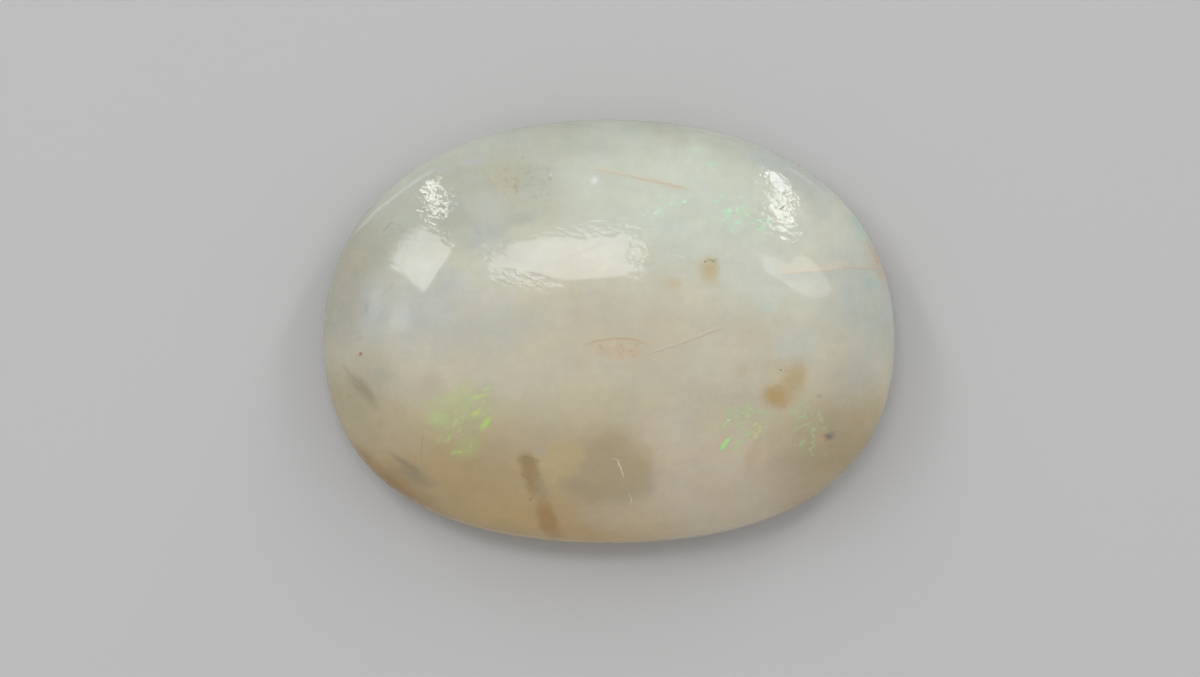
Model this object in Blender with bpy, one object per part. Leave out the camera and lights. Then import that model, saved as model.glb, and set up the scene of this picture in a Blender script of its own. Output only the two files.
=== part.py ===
"""A polished oval opal cabochon: one solid stone, domed above its girdle and ground flat on the back.

Units are metres, +Z up. The origin is the middle of the flat back, on the surface that the stone
rests on. +X runs along the stone and +Y points at the side that is the upper one in the usual view.
"""

import math

import bmesh
import bpy

# Driving dimensions of the finished stone
LENGTH = 0.0280
WIDTH = 0.02077
DOME_HEIGHT = 0.0049
GIRDLE_HEIGHT = 0.0016
BACK_DEPTH = 0.0034  # the underside would be this deep below the girdle, were it not ground flat

# How the outline departs from a plain ellipse
CORNER_FULLNESS = 0.043  # share by which the outline is wider than an ellipse between its axes
END_DROP = 0.00046  # the two ends of the long axis lie this far towards -Y of its middle

# The edge between the flat back and the rounded underside is broken by a small round
BACK_EDGE_ROUND = 0.0003
BACK_EDGE_STEPS = 3

# Faceting of the solid
SEGMENTS = 104
RINGS = 44

# Milky, greyish cream opal with a glassy polish
OPAL_COLOUR = (0.50, 0.48, 0.38, 1.0)
OPAL_ROUGHNESS = 0.08
OPAL_METALLIC = 0.0


def clear_scene():
    for leftover in list(bpy.data.objects):
        bpy.data.objects.remove(leftover, do_unlink=True)


def opal_material():
    material = bpy.data.materials.new("milky_opal")
    material.use_nodes = True
    surface = material.node_tree.nodes["Principled BSDF"]
    surface.inputs["Base Color"].default_value = OPAL_COLOUR
    surface.inputs["Roughness"].default_value = OPAL_ROUGHNESS
    surface.inputs["Metallic"].default_value = OPAL_METALLIC
    return material


def stone_point(direction):
    """The place on the uncut stone that a unit direction from the middle of its girdle leads to."""
    spread = math.hypot(direction.x, direction.y)  # 0 at the top of the dome, 1 at the girdle
    around = math.atan2(direction.y, direction.x)
    fullness = 1 + CORNER_FULLNESS * (spread * math.sin(2 * around)) ** 2
    along = spread * math.cos(around) * fullness
    across = spread * math.sin(around) * fullness
    x = LENGTH / 2 * along
    y = WIDTH / 2 * across - END_DROP * along**2
    half_height = DOME_HEIGHT if direction.z > 0 else BACK_DEPTH
    z = GIRDLE_HEIGHT + half_height * direction.z
    return x, y, z


def shape_stone(mesh):
    """Draws a ball out to the stone's outline and dome."""
    bmesh.ops.create_uvsphere(mesh, u_segments=SEGMENTS, v_segments=RINGS, radius=1.0)
    for vertex in mesh.verts:
        vertex.co = stone_point(vertex.co)


def grind_back(mesh):
    """Takes off all below the resting surface and closes the cut with one flat face."""
    bmesh.ops.bisect_plane(
        mesh,
        geom=[*mesh.verts, *mesh.edges, *mesh.faces],
        plane_co=(0, 0, 0),
        plane_no=(0, 0, -1),
        clear_outer=True,
    )
    rim = [edge for edge in mesh.edges if edge.is_boundary]
    bmesh.ops.edgeloop_fill(mesh, edges=rim)
    bmesh.ops.recalc_face_normals(mesh, faces=mesh.faces)
    return rim


def round_back_edge(mesh, rim):
    bmesh.ops.bevel(
        mesh,
        geom=rim,
        offset=BACK_EDGE_ROUND,
        offset_type="OFFSET",
        segments=BACK_EDGE_STEPS,
        profile=0.5,
        affect="EDGES",
        clamp_overlap=True,
    )


def make_opal(collection):
    mesh = bmesh.new()
    shape_stone(mesh)
    rim = grind_back(mesh)
    round_back_edge(mesh, rim)
    data = bpy.data.meshes.new("opal")
    mesh.to_mesh(data)
    mesh.free()
    data.shade_smooth()
    data.materials.append(opal_material())
    opal = bpy.data.objects.new("opal", data)
    collection.objects.link(opal)
    return opal


def main():
    clear_scene()
    collection = bpy.data.collections.new("opal_cabochon")
    bpy.context.scene.collection.children.link(collection)
    make_opal(collection)


main()
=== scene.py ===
"""A polished milky opal cabochon on a pale table, seen from straight above.

The stone is one piece. Its outline and dome follow a rule, so a Geometry Nodes tree makes them. The
tree also lays the clouds, stains, healed cracks and flecks of colour play on the mesh, with painted
shade along the upper rim, painted shade in two open pits and two pale bands of painted reflection
near the upper rim, and a procedural material draws them. Places and sizes of marks are in
millimetres from the stone's middle, as seen from above. Those of the mesh, the table, the lens and
the lamps are in metres where their names don't say.
"""

import math

import bpy
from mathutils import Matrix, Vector


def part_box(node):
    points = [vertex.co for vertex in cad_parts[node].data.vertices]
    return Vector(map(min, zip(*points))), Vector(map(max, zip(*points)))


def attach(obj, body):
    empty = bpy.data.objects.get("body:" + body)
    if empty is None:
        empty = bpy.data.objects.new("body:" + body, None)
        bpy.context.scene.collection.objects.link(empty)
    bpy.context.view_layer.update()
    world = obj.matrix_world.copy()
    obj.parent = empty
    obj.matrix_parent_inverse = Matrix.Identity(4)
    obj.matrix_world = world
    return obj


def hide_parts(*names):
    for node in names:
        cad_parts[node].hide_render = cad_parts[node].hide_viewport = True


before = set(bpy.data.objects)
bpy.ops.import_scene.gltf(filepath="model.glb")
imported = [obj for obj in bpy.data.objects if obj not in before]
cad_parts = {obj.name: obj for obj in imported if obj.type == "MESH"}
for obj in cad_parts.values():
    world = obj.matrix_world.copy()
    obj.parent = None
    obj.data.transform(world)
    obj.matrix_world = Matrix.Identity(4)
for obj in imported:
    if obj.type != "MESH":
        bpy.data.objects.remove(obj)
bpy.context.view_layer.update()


# The opal: one natural stone, sawn, ground to an oval dome with a rounded girdle and a flat back,
# and polished by hand. It is loose: nothing holds or backs it. Its mesh is a sheet of even cells,
# drawn over the dome and gathered under the back, and it carries the stone's tones and marks.

MM_PER_METRE = 1000.0

# The sheet: cells along a side, the share of it that covers the dome, how fast its rings leave the
# top, where and how fast they pass the edge of the back, and how near its points are welded
CELLS_ACROSS = 312
DOME_SHARE = 0.91
TOP_SPREAD = 1.1
TOP_SPREAD_POWER = 4.0
BACK_EDGE_PLACE = 0.422
BACK_EDGE_SPREAD = 0.349
BACK_BEND_POWER = 3
MERGE_DISTANCE = 0.000001

# The waves that a hand polish leaves, and the stone that they lie on, which fits its box with them
POLISH_WAVE_HEIGHT = 0.000007
POLISH_WAVE_SIZE = 0.0024
POLISH_WAVE_DETAIL = 1.0
POLISH_WAVE_ROUGHNESS = 0.4
POLISH_WAVE_SEED = 4.0
LOW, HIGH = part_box("opal")
LENGTH = HIGH.x - LOW.x - 2 * POLISH_WAVE_HEIGHT
WIDTH = HIGH.y - LOW.y - 2 * POLISH_WAVE_HEIGHT
GIRDLE_HEIGHT = 0.0016
DOME_HEIGHT = HIGH.z - GIRDLE_HEIGHT - POLISH_WAVE_HEIGHT
BACK_DEPTH = 0.0034
CORNER_FULLNESS = 0.043
END_DROP = 0.00046
BACK_EDGE_ROUND = 0.00025

# The milky body from the lower rim (-Y) to the upper one: place across the stone, tone. The darker
# tone at the upper rim is painted shade.
BODY_TONES_AND_RIM_SHADE = (
    (-10.0, (0.62, 0.45, 0.225)),
    (-8.3, (0.575, 0.445, 0.255)),
    (-6.2, (0.55, 0.45, 0.285)),
    (-4.6, (0.60, 0.525, 0.365)),
    (-2.4, (0.65, 0.60, 0.46)),
    (0.6, (0.645, 0.61, 0.485)),
    (2.6, (0.66, 0.65, 0.535)),
    (6.2, (0.63, 0.65, 0.55)),
    (8.4, (0.57, 0.595, 0.505)),
    # painted shade along the upper rim
    (10.2, (0.425, 0.445, 0.37)),
)

# The flat back, which the photograph doesn't show, has only a slow change of tone from -Y to +Y, and
# passes into the tones of the girdle between these two heights
BACK_TONES = ((-9.0, (0.57, 0.47, 0.31)), (9.0, (0.56, 0.57, 0.47)))
BACK_TONE_FROM = 0.08
BACK_TONE_TO = 0.7

# Clouds in the body: middle, half length and half width, turn in degrees, share of the half size
# before the edge starts to fade, strength, tone
CLOUDS = {
    "grey_shoulder": ((-7.4, 6.9), (6.6, 3.6), 18, 0.3, 0.95, (0.495, 0.51, 0.425)),
    "left_end": ((-14.4, 3.0), (4.6, 6.6), -12, 0.35, 0.95, (0.42, 0.42, 0.34)),
    "pale_left": ((-9.2, 0.9), (4.2, 2.9), 0, 0.1, 0.8, (0.59, 0.61, 0.565)),
    "left_low_edge": ((-13.4, -4.0), (4.6, 3.8), 12, 0.2, 0.95, (0.465, 0.415, 0.285)),
    "tan_foot": ((-8.0, -8.2), (7.4, 4.6), -24, 0.1, 0.9, (0.53, 0.405, 0.22)),
    "burnt_edge": ((-10.9, -7.7), (4.8, 1.6), -41, 0.1, 0.95, (0.355, 0.225, 0.095)),
    "green_ground": ((-7.2, -4.1), (2.9, 1.9), 20, 0.1, 0.7, (0.565, 0.54, 0.32)),
    "cool_shoulder": ((4.0, 6.0), (6.4, 3.6), -6, 0.2, 0.85, (0.655, 0.70, 0.60)),
    "upper_right_edge": ((9.2, 8.5), (4.4, 2.4), -34, 0.2, 0.85, (0.475, 0.505, 0.475)),
    "warm_middle": ((0.6, -0.5), (5.0, 2.2), 0, 0.1, 0.75, (0.645, 0.585, 0.445)),
    "bright_right": ((8.5, 2.6), (4.4, 3.0), -10, 0.2, 0.8, (0.68, 0.70, 0.60)),
    "right_end": ((13.0, 1.6), (3.2, 4.8), 8, 0.2, 0.9, (0.555, 0.585, 0.525)),
    "cream_foot": ((5.6, -7.6), (6.6, 4.6), 0, 0.35, 0.9, (0.68, 0.605, 0.465)),
    "right_low": ((11.2, -6.1), (4.9, 3.8), 24, 0.05, 0.95, (0.475, 0.395, 0.25)),
    "grey_patch": ((0.0, -6.8), (2.4, 2.0), 0, 0.68, 0.78, (0.485, 0.40, 0.25)),
    "pale_lobe": ((-2.4, -6.2), (1.4, 1.1), 35, 0.72, 0.95, (0.60, 0.485, 0.28)),
}

# Soft stains and hazes under the polish, given as the clouds are
HAZES = {
    "fawn_cloud": ((9.0, -2.3), (0.85, 1.6), -18, 0.1, 0.9, (0.575, 0.46, 0.265)),
    "fawn_tail": ((7.9, -2.2), (0.8, 1.1), 10, 0.1, 0.5, (0.64, 0.55, 0.38)),
    "low_thread": ((6.97, -6.15), (0.4, 1.0), -14, 0.1, 0.5, (0.60, 0.47, 0.31)),
    "violet_haze": ((10.9, -4.6), (0.9, 1.1), 0, 0.1, 0.45, (0.48, 0.425, 0.30)),
    "pale_brow": ((0.2, 9.6), (2.2, 0.9), 0, 0.1, 0.2, (0.74, 0.79, 0.75)),
    "grey_brow": ((4.9, 9.5), (1.8, 0.9), -10, 0.1, 0.35, (0.52, 0.55, 0.51)),
    "grey_brow_left": ((-4.0, 9.3), (1.8, 0.9), 8, 0.1, 0.3, (0.47, 0.49, 0.43)),
    "lilac_grey": ((-7.7, 2.4), (1.1, 1.0), -50, 0.1, 0.45, (0.50, 0.52, 0.54)),
    "left_rim_pale": ((-12.9, -1.1), (1.2, 1.6), 0, 0.1, 0.35, (0.56, 0.54, 0.45)),
    "warm_between": ((7.3, -4.2), (0.9, 0.8), 0, 0.1, 0.3, (0.60, 0.55, 0.36)),
    "pale_right_middle": ((5.2, -1.3), (2.0, 1.3), 0, 0.1, 0.35, (0.70, 0.67, 0.56)),
    "left_smoke_haze": ((-11.35, -2.2), (1.1, 0.8), -35, 0.1, 0.6, (0.46, 0.455, 0.375)),
    "low_smoke_haze": ((-9.6, -6.9), (1.3, 0.7), -38, 0.1, 0.6, (0.43, 0.36, 0.235)),
    "corner_smoke": ((-11.6, -4.9), (1.3, 0.5), -62, 0.1, 0.5, (0.47, 0.415, 0.29)),
    "low_left_pale": ((-10.4, -5.0), (1.7, 1.3), -40, 0.1, 0.35, (0.57, 0.495, 0.35)),
    "left_mauve": ((-12.7, 1.2), (0.9, 2.4), -6, 0.1, 0.45, (0.48, 0.455, 0.40)),
    "left_blue_grey": ((-11.4, 0.9), (1.0, 1.7), -8, 0.1, 0.55, (0.50, 0.53, 0.52)),
    "rosy_left_cloud": ((-8.8, -2.6), (1.2, 0.9), 25, 0.1, 0.55, (0.535, 0.475, 0.355)),
    "grey_grain_veil": ((-4.8, 7.6), (2.1, 0.9), -4, 0.1, 0.6, (0.49, 0.49, 0.385)),
    "sandy_veil": ((-5.0, 6.7), (0.8, 1.3), -10, 0.1, 0.5, (0.575, 0.53, 0.40)),
    "sandy_speck_veil": ((-2.8, 5.7), (0.6, 0.8), 0, 0.1, 0.4, (0.60, 0.555, 0.42)),
    "grey_wisp_tail": ((-5.8, 4.7), (1.8, 0.55), 30, 0.1, 0.6, (0.51, 0.53, 0.48)),
    "smoke_ring": ((-0.4, 1.3), (2.4, 1.2), 0, 0.1, 0.5, (0.60, 0.56, 0.44)),
    "left_grey_cloud": ((-5.4, 0.2), (3.0, 1.6), 8, 0.1, 0.6, (0.545, 0.565, 0.50)),
    "pale_patch": ((-6.0, 4.5), (1.6, 1.4), 0, 0.1, 0.4, (0.56, 0.58, 0.54)),
    "bright_shoulder": ((-5.9, 6.2), (1.5, 1.0), 10, 0.1, 0.55, (0.62, 0.635, 0.555)),
    "right_dusk": ((11.7, -2.3), (1.6, 1.4), 0, 0.1, 0.5, (0.50, 0.48, 0.41)),
    "mid_dusk": ((-4.5, 3.9), (1.6, 1.2), 0, 0.1, 0.5, (0.55, 0.555, 0.475)),
    "low_gold": ((-5.2, -9.0), (2.8, 1.2), 6, 0.1, 0.5, (0.60, 0.445, 0.20)),
    "foot_blush": ((0.4, -8.9), (2.6, 1.0), 4, 0.1, 0.5, (0.68, 0.57, 0.42)),
    "right_foot_gold": ((9.6, -7.9), (2.4, 1.0), 34, 0.1, 0.5, (0.585, 0.47, 0.31)),
    "cool_side_low": ((7.2, -3.9), (2.4, 1.4), 0, 0.1, 0.4, (0.60, 0.555, 0.44)),
    "pale_drift": ((2.6, -4.6), (2.8, 1.8), 0, 0.1, 0.5, (0.67, 0.62, 0.51)),
    "cool_side": ((9.2, -0.7), (2.0, 1.2), 0, 0.1, 0.55, (0.62, 0.66, 0.60)),
    "left_rosy_edge": ((-12.5, 3.2), (1.0, 0.8), 60, 0.2, 0.5, (0.52, 0.47, 0.37)),
    "rose_dusk": ((0.65, -0.98), (1.5, 0.42), 0, 0.4, 0.7, (0.665, 0.545, 0.39)),
    "orange_rim": ((13.3, 3.5), (1.9, 0.7), -68, 0.2, 0.8, (0.60, 0.46, 0.36)),
    "teal_rim": ((12.2, 5.1), (1.2, 0.45), -50, 0.1, 0.6, (0.42, 0.57, 0.50)),
    "teal_haze": ((12.83, 2.3), (0.5, 0.4), 0, 0.2, 0.5, (0.46, 0.58, 0.54)),
    "mint_haze": ((4.25, 8.68), (0.6, 0.3), -14, 0.2, 0.4, (0.57, 0.70, 0.56)),
    "soft_green_left": ((-8.18, -4.25), (0.75, 0.6), 0, 0.1, 0.7, (0.54, 0.65, 0.31)),
    "soft_green_upper": ((-8.0, -3.4), (0.9, 0.5), 10, 0.1, 0.6, (0.55, 0.63, 0.34)),
    "soft_green_top": ((-7.0, -3.1), (1.0, 0.8), 10, 0.1, 0.6, (0.58, 0.65, 0.36)),
    "soft_green_low": ((-6.9, -5.7), (1.1, 0.6), 30, 0.1, 0.6, (0.55, 0.61, 0.27)),
    "faint_green_side": ((7.5, 1.32), (0.8, 0.5), 0, 0.1, 0.3, (0.62, 0.70, 0.55)),
    "faint_green_end": ((12.8, 1.04), (0.5, 0.5), 0, 0.1, 0.4, (0.58, 0.64, 0.48)),
    "faint_green_low": ((4.3, -3.69), (0.7, 0.45), 10, 0.1, 0.3, (0.60, 0.63, 0.42)),
    "faint_green_foot": ((1.3, -8.7), (0.9, 0.3), 24, 0.1, 0.4, (0.58, 0.55, 0.36)),
    "lilac_over_root": ((-3.4, -5.75), (0.5, 0.35), -30, 0.2, 0.6, (0.52, 0.46, 0.40)),
    "burnt_low_right": ((9.6, -8.5), (2.2, 0.7), 32, 0.1, 0.6, (0.52, 0.40, 0.25)),
}

# Stains and streaks with an edge, given as the clouds are
STAINS = {
    "brown_knot": ((4.86, 2.95), (0.7, 0.85), 10, 0.1, 0.85, (0.60, 0.49, 0.28)),
    "faint_knot": ((3.0, 2.22), (0.7, 0.45), 0, 0.1, 0.6, (0.64, 0.57, 0.38)),
    "fawn_heart": ((8.1, -3.2), (0.85, 0.72), -30, 0.2, 0.95, (0.545, 0.39, 0.18)),
    "fawn_bridge": ((8.5, -2.6), (0.5, 0.8), -35, 0.1, 0.5, (0.57, 0.45, 0.25)),
    "small_knot": ((6.45, -1.9), (0.45, 0.5), 0, 0.3, 0.6, (0.61, 0.53, 0.36)),
    "root_top": ((-3.95, -6.3), (0.55, 0.32), -15, 0.3, 0.85, (0.37, 0.275, 0.135)),
    "root": ((-3.8, -7.0), (0.5, 1.35), 14, 0.35, 0.92, (0.43, 0.305, 0.145)),
    "root_waist": ((-3.3, -7.7), (0.42, 1.2), 16, 0.25, 0.75, (0.46, 0.37, 0.225)),
    "root_foot": ((-3.0, -9.15), (0.58, 1.08), 18, 0.45, 0.95, (0.48, 0.305, 0.125)),
    "root_tail": ((-2.5, -9.9), (0.5, 0.35), 10, 0.2, 0.6, (0.52, 0.35, 0.17)),
    "violet_spot": ((10.7, -5.1), (0.42, 0.26), 8, 0.2, 0.9, (0.26, 0.235, 0.215)),
    "violet_grain": ((10.2, -3.13), (0.2, 0.14), 0, 0.2, 0.6, (0.42, 0.37, 0.31)),
    "orange_spot": ((10.36, -5.2), (0.22, 0.26), 0, 0.3, 0.7, (0.64, 0.43, 0.24)),
    "left_smoke": ((-11.9, -2.9), (1.35, 0.42), -50, 0.1, 0.7, (0.335, 0.29, 0.195)),
    "low_smoke": ((-9.9, -6.45), (1.15, 0.2), -30, 0.1, 0.75, (0.33, 0.275, 0.18)),
    "low_smoke_branch": ((-9.4, -7.05), (1.35, 0.45), -28, 0.1, 0.6, (0.35, 0.285, 0.18)),
    "left_smoke_thread": ((-12.6, -2.1), (0.8, 0.13), -54, 0.1, 0.7, (0.45, 0.36, 0.26)),
    "lilac_streak": ((-6.6, 8.3), (0.95, 0.2), 12, 0.2, 0.8, (0.53, 0.515, 0.56)),
    "lilac_tail": ((-8.1, 7.85), (0.7, 0.16), 14, 0.2, 0.6, (0.52, 0.51, 0.53)),
    "grey_wisp": ((-4.3, 5.45), (0.9, 0.4), 12, 0.1, 0.75, (0.47, 0.50, 0.43)),
    "grey_band": ((-7.0, 5.7), (1.5, 0.22), -52, 0.1, 0.5, (0.47, 0.50, 0.44)),
    "mint_smear": ((5.0, 8.12), (0.42, 0.16), -8, 0.2, 0.7, (0.58, 0.72, 0.56)),
    "green_shard": ((-6.0, -4.45), (0.45, 0.22), 55, 0.2, 0.95, (0.54, 0.78, 0.22)),
    "yellow_shard": ((-6.5, -3.95), (0.35, 0.18), 35, 0.2, 0.85, (0.63, 0.74, 0.27)),
    "upper_shard": ((-6.3, -3.15), (0.6, 0.18), 12, 0.2, 0.8, (0.60, 0.72, 0.32)),
}

# Healed cracks, and two pale bands along the upper rim that are painted reflections of lamps, drawn as
# they are: middle, turn in degrees, half length, half width, how much wider the line is at its far end,
# rise of the middle above the ends, width of the tone beside the line, strength, tones of the line,
# above it, below it
CRACKS_AND_RIM_REFLECTIONS = {
    "upper_crack": ((1.45, 7.36), -12, 2.8, 0.07, 0.5, 0.05, 0.35, 0.8,
                    (0.645, 0.53, 0.39), (0.66, 0.65, 0.53), (0.62, 0.62, 0.51)),
    "middle_arc": ((0.37, -0.72), 0, 1.72, 0.08, 0.0, 0.36, 0.3, 0.85,
                   (0.60, 0.465, 0.30), (0.655, 0.59, 0.45), (0.66, 0.555, 0.41)),
    "slant_crack": ((3.73, -0.46), 19.3, 2.15, 0.05, 0.0, -0.06, 0.22, 0.8,
                    (0.55, 0.44, 0.34), (0.71, 0.655, 0.51), (0.635, 0.59, 0.475)),
    "right_crack": ((9.95, 2.92), 4.5, 1.9, 0.045, 0.2, -0.04, 0.7, 0.85,
                    (0.64, 0.57, 0.46), (0.72, 0.67, 0.55), (0.59, 0.61, 0.53)),
    "right_crack_rim": ((12.3, 3.06), 0, 1.3, 0.06, 0.0, 0.0, 0.35, 0.6,
                        (0.58, 0.47, 0.38), (0.63, 0.56, 0.46), (0.53, 0.56, 0.50)),
    "bright_crack": ((-1.5, 3.72), 21, 1.9, 0.04, 0.0, 0.04, 0.15, 0.4,
                     (0.62, 0.54, 0.46), (0.66, 0.62, 0.54), (0.65, 0.63, 0.54)),
    "root_brow": ((-3.8, -6.2), -16, 0.5, 0.07, 0.0, 0.05, 0.1, 0.8,
                  (0.34, 0.27, 0.14), (0.54, 0.46, 0.31), (0.46, 0.35, 0.19)),
    # Painted reflections of lamps in the steep upper rim, drawn as pale bands
    "painted_rim_reflection": ((-10.4, 6.33), 38.1, 2.7, 0.1, 0.0, 0.25, 0.16, 0.38,
                      (0.66, 0.68, 0.655), (0.62, 0.64, 0.62), (0.62, 0.64, 0.61)),
    "painted_rim_reflection_right": ((9.6, 7.25), -37, 1.4, 0.1, 0.0, 0.15, 0.12, 0.28,
                            (0.64, 0.67, 0.64), (0.60, 0.62, 0.60), (0.60, 0.62, 0.60)),
    "left_tent": ((-10.8, 5.05), 48, 0.42, 0.05, 0.0, 0.04, 0.15, 0.8,
                  (0.38, 0.39, 0.31), (0.52, 0.53, 0.45), (0.49, 0.51, 0.43)),
    "left_tent_side": ((-10.42, 5.2), -20, 0.35, 0.045, 0.0, 0.03, 0.15, 0.6,
                       (0.40, 0.41, 0.33), (0.52, 0.53, 0.45), (0.50, 0.52, 0.44)),
    "left_upper_line": ((-11.9, 4.2), 10, 0.55, 0.05, 0.0, 0.06, 0.15, 0.7,
                        (0.50, 0.41, 0.32), (0.50, 0.50, 0.42), (0.50, 0.49, 0.40)),
    "left_smoke_edge": ((-12.05, -2.75), -50, 0.75, 0.07, 0.0, 0.06, 0.12, 0.6,
                        (0.33, 0.29, 0.22), (0.46, 0.43, 0.33), (0.50, 0.46, 0.33)),
    "low_left_line": ((-9.06, -6.1), 88, 1.2, 0.09, 0.0, 0.06, 0.15, 0.5,
                      (0.44, 0.36, 0.24), (0.54, 0.44, 0.28), (0.55, 0.45, 0.29)),
    "white_thread": ((0.52, -6.62), -68, 0.55, 0.055, 0.0, 0.06, 0.1, 0.95,
                     (0.80, 0.76, 0.60), (0.53, 0.44, 0.29), (0.52, 0.43, 0.28)),
    "white_thread_end": ((0.3, -6.22), -10, 0.22, 0.045, 0.0, 0.03, 0.1, 0.9,
                         (0.76, 0.71, 0.55), (0.53, 0.44, 0.29), (0.52, 0.43, 0.28)),
    "low_white_thread": ((1.04, -8.1), -66, 0.26, 0.045, 0.0, 0.03, 0.1, 0.9,
                         (0.78, 0.72, 0.56), (0.54, 0.45, 0.28), (0.54, 0.45, 0.28)),
    "glint_thread": ((3.25, 3.58), -8, 0.5, 0.04, 0.0, 0.08, 0.12, 0.8,
                     (0.74, 0.84, 0.66), (0.67, 0.67, 0.55), (0.67, 0.67, 0.55)),
}

# Fields of flecks, of colour play and of grains: middle, half size, turn in degrees, flecks in a
# square millimetre, half lengths of the smallest and the largest, width over length, their lean
# and its spread in degrees, strength, tones of the dullest and the brightest
FLECK_FIELDS = {
    "mint_flecks": ((6.4, 5.55), (2.1, 1.3), -28, 12.0, (0.06, 0.22), 0.55, -20, 90, 0.85,
                    (0.62, 0.71, 0.60), (0.56, 0.92, 0.58)),
    "mint_trail": ((2.7, 5.95), (1.8, 0.7), 22, 8.0, (0.07, 0.22), 0.5, 20, 90, 0.7,
                   (0.64, 0.73, 0.61), (0.60, 0.86, 0.64)),
    "mint_dust": ((4.9, 8.2), (1.6, 0.5), -12, 3.0, (0.05, 0.2), 0.5, -10, 60, 0.5,
                  (0.60, 0.68, 0.56), (0.58, 0.80, 0.60)),
    "green_flecks": ((6.3, -4.5), (1.7, 1.4), 12, 16.0, (0.07, 0.25), 0.5, 45, 80, 0.85,
                     (0.60, 0.62, 0.43), (0.50, 0.78, 0.34)),
    "yellow_grains": ((7.15, -4.85), (0.4, 0.5), 10, 26.0, (0.06, 0.13), 0.8, 0, 180, 0.9,
                      (0.68, 0.62, 0.36), (0.74, 0.80, 0.24)),
    "low_right_flecks": ((9.7, -4.6), (1.2, 1.9), 16, 15.0, (0.06, 0.22), 0.55, 60, 90, 0.75,
                         (0.57, 0.54, 0.38), (0.49, 0.70, 0.35)),
    "left_strokes": ((-6.8, -4.1), (2.0, 1.9), 30, 9.0, (0.08, 0.34), 0.42, 46, 50, 0.62,
                     (0.58, 0.59, 0.36), (0.58, 0.75, 0.28)),
    "right_end_flecks": ((12.4, -0.6), (1.1, 3.8), 4, 5.0, (0.05, 0.16), 0.7, 0, 180, 0.5,
                         (0.56, 0.61, 0.52), (0.72, 0.52, 0.44)),
    "right_end_teals": ((12.5, 2.6), (0.8, 2.4), 16, 4.0, (0.06, 0.25), 0.6, 60, 90, 0.5,
                        (0.56, 0.61, 0.54), (0.44, 0.66, 0.58)),
    "root_grains": ((-3.75, -7.1), (0.7, 1.7), 15, 20.0, (0.06, 0.16), 0.7, 0, 180, 0.6,
                    (0.53, 0.42, 0.26), (0.36, 0.26, 0.13)),
    "root_foot_grains": ((-3.0, -9.2), (0.6, 1.1), 18, 20.0, (0.06, 0.16), 0.7, 0, 180, 0.6,
                         (0.58, 0.40, 0.20), (0.40, 0.25, 0.10)),
    "arc_stipple": ((0.5, -0.95), (1.6, 0.5), 0, 26.0, (0.05, 0.13), 0.8, 0, 180, 0.7,
                    (0.67, 0.56, 0.41), (0.57, 0.42, 0.26)),
    "arc_beads": ((0.4, -0.5), (1.5, 0.16), 0, 14.0, (0.04, 0.09), 0.8, 0, 180, 0.6,
                  (0.70, 0.60, 0.44), (0.76, 0.70, 0.52)),
    "shoulder_grains": ((-4.6, 7.5), (2.6, 1.2), -4, 11.0, (0.06, 0.24), 0.6, -20, 120, 0.7,
                        (0.55, 0.55, 0.44), (0.38, 0.38, 0.28)),
    "sandy_grains": ((-4.6, 6.4), (2.2, 1.5), -20, 6.0, (0.07, 0.22), 0.7, 0, 180, 0.65,
                     (0.60, 0.57, 0.45), (0.62, 0.54, 0.37)),
    "left_end_grains": ((-12.2, 2.0), (1.6, 4.6), -10, 9.0, (0.06, 0.26), 0.5, 60, 90, 0.3,
                        (0.52, 0.49, 0.42), (0.38, 0.37, 0.30)),
    "left_low_grains": ((-11.4, -3.6), (1.8, 3.0), 24, 9.0, (0.06, 0.26), 0.45, -50, 60, 0.3,
                        (0.54, 0.49, 0.38), (0.38, 0.34, 0.25)),
    "knot_grains": ((4.86, 3.1), (0.6, 0.7), 10, 16.0, (0.04, 0.1), 0.8, 0, 180, 0.35,
                    (0.62, 0.51, 0.31), (0.48, 0.37, 0.19)),
    "fawn_grains": ((8.4, -2.7), (0.9, 1.5), -28, 12.0, (0.06, 0.15), 0.8, 0, 180, 0.3,
                    (0.62, 0.52, 0.32), (0.48, 0.35, 0.17)),
    "violet_grains": ((10.8, -5.0), (0.9, 0.8), 0, 9.0, (0.05, 0.15), 0.7, 0, 180, 0.5,
                      (0.42, 0.36, 0.25), (0.32, 0.27, 0.23)),
    "middle_dust": ((-1.0, 1.0), (9.0, 6.0), 0, 1.2, (0.04, 0.14), 0.7, 0, 180, 0.3,
                    (0.60, 0.58, 0.47), (0.70, 0.69, 0.58)),
    "low_dust": ((1.0, -6.0), (8.0, 3.5), 0, 1.6, (0.04, 0.14), 0.7, 0, 180, 0.3,
                 (0.50, 0.43, 0.29), (0.66, 0.58, 0.43)),
}
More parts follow.
